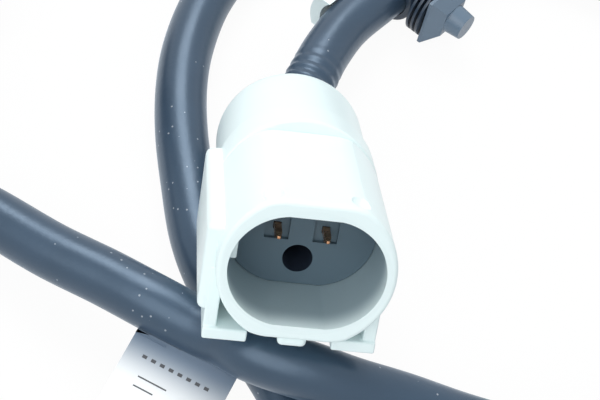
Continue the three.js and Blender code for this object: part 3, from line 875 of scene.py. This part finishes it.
class SENSOR_OT_clip(bpy.types.Operator):
    """Band round the lead with a push-in fir tree"""

    bl_idname = "sensor.clip"
    bl_label = "Push-in clip"

    def execute(self, context):
        lead = context.scene.sensor_lead
        half = lead.clip_length / 2
        band = bar("push-in_clip", lead.clip_outer, -half, half, axis="X", sides=72)
        round_edges(band, 0.3 * MM, 3, 40.0)
        base = block("base", (-2.0 * MM, 2.0 * MM), (-4.3 * MM, -3.2 * MM), (-2.2 * MM, 2.2 * MM))
        round_edges(base, 0.3 * MM, 3, 40.0)
        add_to(band, base)
        add_to(band, bar("stem", 1.6 * MM, -7.9 * MM, -3.6 * MM, sides=48))
        for start in (4.1 * MM, 4.8 * MM, 5.5 * MM):
            add_to(band, bar("fin", 4.2 * MM, -start - 0.35 * MM, -start, sides=64))
        for start, end, near, far in ((6.1, 6.5, 4.9, 4.9), (6.5, 8.2, 4.9, 2.7)):
            step = bar("arrow", far * MM, -end * MM, -start * MM, end_radius=near * MM, sides=4)
            step.matrix_world = Matrix.Rotation(math.pi / 4, 4, "Y")
            settle(step)
            add_to(band, step)
        add_to(band, bar("nose", 1.65 * MM, -10.3 * MM, -8.1 * MM, end_radius=1.9 * MM, sides=48))
        cut(band, bar("lead bore", lead.radius + 0.12 * MM, -half - MM, half + MM, axis="X", sides=72))
        round_edges(band, 0.12 * MM, 2, 44.0)
        place(band, CLIP_FRAME, FINISHES["clip_plastic"], "clip_plastic", "cable_clip")
        pad = bar("pale_pad", 4.85 * MM, -12.1 * MM, -3.5 * MM, axis="X", sides=72)
        cut(pad, bar("lead bore", lead.radius + 0.35 * MM, -14 * MM, -2 * MM, axis="X", sides=72))
        extent = block("pad extent", (-13 * MM, 0.0), (2.2 * MM, 8 * MM), (-2.4 * MM, 2.4 * MM))
        combine(pad, extent, "INTERSECT")
        round_edges(pad, 0.25 * MM, 3, 40.0)
        place(pad, CLIP_FRAME, FINISHES["pale_plastic"], "pale_plastic", "clip_pad")
        return {"FINISHED"}


class SENSOR_OT_label(bpy.types.Operator):
    """Folded paper label with plain printed bars"""

    bl_idname = "sensor.label"
    bl_label = "Label"

    def execute(self, context):
        lead = context.scene.sensor_lead
        wrap = bar("folded_label", 3.5 * MM, -2.0 * MM, 1.4 * MM, axis="X", sides=72)
        cut(wrap, block("open top", (-4 * MM, 4 * MM), (-5 * MM, 5 * MM), (-0.9 * MM, 5 * MM)))
        lean = Matrix.Rotation(LABEL_LEAN, 4, "X")
        flag = block("flag", (-2.0 * MM, 9.2 * MM), (-19.0 * MM, -3.1 * MM),
                     (-LABEL_THICKNESS / 2, LABEL_THICKNESS / 2))
        for vertex in flag.data.vertices:
            vertex.select = vertex.co.x > 9 * MM and vertex.co.y > -4 * MM
        pull_selected(flag, (0.0, 0.48 * MM, 0.0))
        flag.matrix_world = lean
        settle(flag)
        add_to(wrap, flag)
        cut(wrap, bar("lead bore", lead.radius + 0.03 * MM, -3 * MM, 3 * MM, axis="X", sides=72))
        place(wrap, LABEL_FRAME, FINISHES["label_paper"], "label_paper", "cable_label")
        dashes = [(-0.2 + 1.0 * count, 0.5, 5.1, 0.34) for count in range(8)]
        lines = [(0.4, 3.2, 7.2, 0.14), (0.4, 2.2, 8.2, 0.14)]
        bars = None
        for low, width, near, deep in dashes + lines:
            strip = block("printed_bars", (low * MM, (low + width) * MM), (-(near + deep) * MM, -near * MM),
                          (0.1 * MM, 0.14 * MM))
            strip.matrix_world = lean
            settle(strip)
            bars = strip if bars is None else add_to(bars, strip)
        bars.matrix_world = LABEL_FRAME
        settle(bars)
        bars.data.materials.append(FINISHES["print_grey"])
        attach(bars, BODY)
        return {"FINISHED"}


class SENSOR_OT_head_body(bpy.types.Operator):
    """Flat body with an ear and a round nose"""

    bl_idname = "sensor.head_body"
    bl_label = "Head body"

    def execute(self, context):
        head = context.scene.sensor_head
        top = head.flange
        body = block("head_body", (-HEAD_HALF_WIDTH, HEAD_HALF_WIDTH), (-HEAD_FRONT, 2 * MM), (0.0, top))
        add_to(body, bar("middle", HEAD_HALF_WIDTH, 0.0, top, (0.0, 2 * MM), "Z"))
        add_to(body, block("ear neck", (-7.2 * MM, 7.2 * MM), (3 * MM, head.ear_offset), (0.0, top)))
        add_to(body, bar("ear", head.ear_radius, 0.0, top, (0.0, head.ear_offset), "Z"))
        round_edges(body, 0.5 * MM, 3, 40.0)
        nose = bar("nose", head.nose_radius, top - MM, head.height, axis="Z")
        round_edges(nose, 0.8 * MM, 4, 40.0)
        add_to(body, nose)
        groove = bar("groove", head.nose_radius + MM, 12.4 * MM, 15.2 * MM, axis="Z")
        cut(groove, bar("groove floor", 6.1 * MM, 12 * MM, 16 * MM, axis="Z"))
        cut(body, groove)
        cut(body, bar("nose room", 5.4 * MM, 1.4 * MM, head.height - 1.2 * MM, axis="Z"))
        cut(body, bar("bush hole", 4.7 * MM, -MM, top + MM, (0.0, head.ear_offset), "Z"))
        cut(body, bar("lead hole", LEAD_HOLE_RADIUS, -HEAD_FRONT - MM, -4.8 * MM, HEAD_LEAD))
        for z in (24.0 * MM, 26.2 * MM):
            ring = bar("ring line", head.nose_radius + MM, z, z + 0.4 * MM, axis="Z")
            cut(ring, bar("ring line floor", head.nose_radius - 0.2 * MM, z - MM, z + MM, axis="Z"))
            cut(body, ring)
        for side in (-1, 1):
            pocket = sorted((side * 9.5 * MM, side * 8.4 * MM))
            cut(body, block("side pocket", pocket, (-7.5 * MM, 1.0 * MM), (2.2 * MM, 7.0 * MM)))
        round_edges(body, 0.15 * MM, 2, 44.0)
        place(body, HEAD_FRAME, FINISHES["black_plastic"], "black_plastic", "head_body")
        return {"FINISHED"}


class SENSOR_OT_head_trim(bpy.types.Operator):
    """Ribbed boot, sealing ring and steel bush of the head"""

    bl_idname = "sensor.head_trim"
    bl_label = "Head trim"

    def execute(self, context):
        head = context.scene.sensor_head
        boot = bar("ribbed_boot", 3.75 * MM, -17 * MM, -10.3 * MM, HEAD_LEAD)
        for start, end in ((-17.0, -15.6), (-14.9, -14.0), (-13.3, -12.4), (-11.7, -10.3)):
            add_to(boot, bar("rib", 4.3 * MM, start * MM, end * MM, HEAD_LEAD))
        cut(boot, bar("lead bore", 3.15 * MM, -18 * MM, -9 * MM, HEAD_LEAD))
        round_edges(boot, 0.18 * MM, 2, 44.0)
        place(boot, HEAD_FRAME, FINISHES["black_rubber"], "black_rubber", "head_boot")
        bush = bar("steel_bush", 4.5 * MM, 0.0, head.flange + 0.3 * MM, (0.0, head.ear_offset), "Z")
        cut(bush, bar("bush bore", 3.3 * MM, -MM, 12 * MM, (0.0, head.ear_offset), "Z"))
        round_edges(bush, 0.25 * MM, 2, 40.0)
        place(bush, HEAD_FRAME, FINISHES["sleeve_metal"], "sleeve_metal", "mounting_bush")
        deselect_all()
        bpy.ops.mesh.primitive_torus_add(major_radius=6.9 * MM, minor_radius=0.75 * MM, major_segments=96,
                                         minor_segments=20, location=(0.0, 0.0, 13.8 * MM))
        ring = context.active_object
        ring.name = "sealing_ring"
        settle(ring)
        place(ring, HEAD_FRAME, FINISHES["seal_rubber"], "seal_rubber", "head_o_ring")
        return {"FINISHED"}


class SENSOR_OT_inner_pieces(bpy.types.Operator):
    """Finishes of the pieces inside the plug and the head, whose solids stay"""

    bl_idname = "sensor.inner_pieces"
    bl_label = "Inner pieces"

    def execute(self, context):
        slots = {
            "cable_seal": "seal_rubber",
            "core_wire_left": "core_insulation",
            "core_wire_right": "core_insulation",
            "element_holder": "chip_plastic",
            "hall_element": "chip_plastic",
            "bias_magnet": "magnet_metal",
            "lead_left": "core_insulation",
            "lead_right": "core_insulation",
        }
        for node, slot in slots.items():
            dress(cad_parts[node], FINISHES[slot])
        return {"FINISHED"}


def lamp(name, power, size, place_at, look_at):
    deselect_all()
    bpy.ops.object.light_add(type="AREA", location=place_at)
    light = bpy.context.active_object
    light.name = name
    light.data.energy = power
    light.data.size = size
    direction = Vector(look_at) - Vector(place_at)
    light.rotation_euler = direction.to_track_quat("-Z", "Y").to_euler()


class SENSOR_OT_stage(bpy.types.Operator):
    """White table, soft lamps and the photograph's camera"""

    bl_idname = "sensor.stage"
    bl_label = "Stage"

    def execute(self, context):
        scene = context.scene
        settings = scene.sensor_stage
        deselect_all()
        bpy.ops.mesh.primitive_plane_add(size=settings.table_size, location=(0.0, 0.0, -TABLE_DROP))
        table = context.active_object
        table.name = "white_table"
        table.data.materials.append(self.table_finish())
        self.light_world(scene, settings)
        middle = PLUG_PLACE + SHIFT
        lamp("key lamp", settings.key_power, KEY_SIZE, middle + KEY_OFFSET, middle)
        lamp("fill lamp", settings.fill_power, FILL_SIZE, middle + FILL_OFFSET, middle)
        view = CAMERA_VIEW.normalized()
        right = (CAMERA_RIGHT - view * CAMERA_RIGHT.dot(view)).normalized()
        up = right.cross(view)
        turn = Matrix((right, up, -view)).transposed().to_4x4()
        deselect_all()
        bpy.ops.object.camera_add()
        camera = context.active_object
        camera.name = "photo_camera"
        camera.matrix_world = Matrix.Translation(CAMERA_PLACE + SHIFT) @ turn
        camera.data.sensor_width = CAMERA_SENSOR
        camera.data.lens = CAMERA_LENS
        camera.data.clip_start = CAMERA_NEAREST
        scene.camera = camera
        scene.view_settings.view_transform = "Standard"
        return {"FINISHED"}

    def table_finish(self):
        """White to the eye, with a soft shadow under the object."""
        material = bpy.data.materials.new("white_table")
        material.use_nodes = True
        tree = material.node_tree
        nodes, links = tree.nodes, tree.links
        nodes.remove(nodes["Principled BSDF"])
        output = nodes["Material Output"]
        matt = nodes.new("ShaderNodeBsdfDiffuse")
        matt.inputs["Color"].default_value = (0.9, 0.9, 0.9, 1.0)
        glow = nodes.new("ShaderNodeEmission")
        glow.inputs["Color"].default_value = WHITE
        mix = nodes.new("ShaderNodeMixShader")
        links.new(calculate(tree, "MULTIPLY", white_rays(tree), TABLE_GLOW), mix.inputs["Fac"])
        links.new(matt.outputs["BSDF"], mix.inputs[1])
        links.new(glow.outputs["Emission"], mix.inputs[2])
        links.new(mix.outputs["Shader"], output.inputs["Surface"])
        return material

    def light_world(self, scene, settings):
        """Even light from all round, seen as pure white by the camera and in reflections."""
        world = bpy.data.worlds.new("white surroundings")
        scene.world = world
        world.use_nodes = True
        nodes, links = world.node_tree.nodes, world.node_tree.links
        ambient = nodes["Background"]
        ambient.inputs["Color"].default_value = (0.94, 0.97, 1.0, 1.0)
        ambient.inputs["Strength"].default_value = settings.world_strength
        white = nodes.new("ShaderNodeBackground")
        white.inputs["Strength"].default_value = 1.0
        white.inputs["Color"].default_value = WHITE
        mix = nodes.new("ShaderNodeMixShader")
        links.new(white_rays(world.node_tree), mix.inputs["Fac"])
        links.new(ambient.outputs["Background"], mix.inputs[1])
        links.new(white.outputs["Background"], mix.inputs[2])
        links.new(mix.outputs["Shader"], nodes["World Output"].inputs["Surface"])


class SENSOR_PT_lead(bpy.types.Panel):
    """Lists the pieces of the sensor lead"""

    bl_label = "Sensor lead"
    bl_idname = "SENSOR_PT_lead"
    bl_space_type = "VIEW_3D"
    bl_region_type = "UI"
    bl_category = "Sensor lead"

    def draw(self, context):
        for operator in OPERATORS:
            self.layout.operator(operator.bl_idname)


SETTINGS = {
    "sensor_plug": PlugSettings,
    "sensor_lead": LeadSettings,
    "sensor_head": HeadSettings,
    "sensor_stage": StageSettings,
}
OPERATORS = (
    SENSOR_OT_plug_shell,
    SENSOR_OT_terminals,
    SENSOR_OT_rear_cap,
    SENSOR_OT_clip,
    SENSOR_OT_label,
    SENSOR_OT_lead,
    SENSOR_OT_head_body,
    SENSOR_OT_head_trim,
    SENSOR_OT_inner_pieces,
    SENSOR_OT_stage,
)


def register():
    for name, group in SETTINGS.items():
        bpy.utils.register_class(group)
        setattr(bpy.types.Scene, name, PointerProperty(type=group))
    for operator in OPERATORS:
        bpy.utils.register_class(operator)
    bpy.utils.register_class(SENSOR_PT_lead)


def unregister():
    bpy.utils.unregister_class(SENSOR_PT_lead)
    for operator in reversed(OPERATORS):
        bpy.utils.unregister_class(operator)
    for name, group in SETTINGS.items():
        delattr(bpy.types.Scene, name)
        bpy.utils.unregister_class(group)


def main():
    register()
    make_finishes(bpy.context.scene)
    bpy.ops.sensor.plug_shell()
    bpy.ops.sensor.terminals()
    bpy.ops.sensor.rear_cap()
    bpy.ops.sensor.clip()
    bpy.ops.sensor.label()
    bpy.ops.sensor.lead()
    bpy.ops.sensor.head_body()
    bpy.ops.sensor.head_trim()
    bpy.ops.sensor.inner_pieces()
    bpy.ops.sensor.stage()


if __name__ == "__main__":
    main()
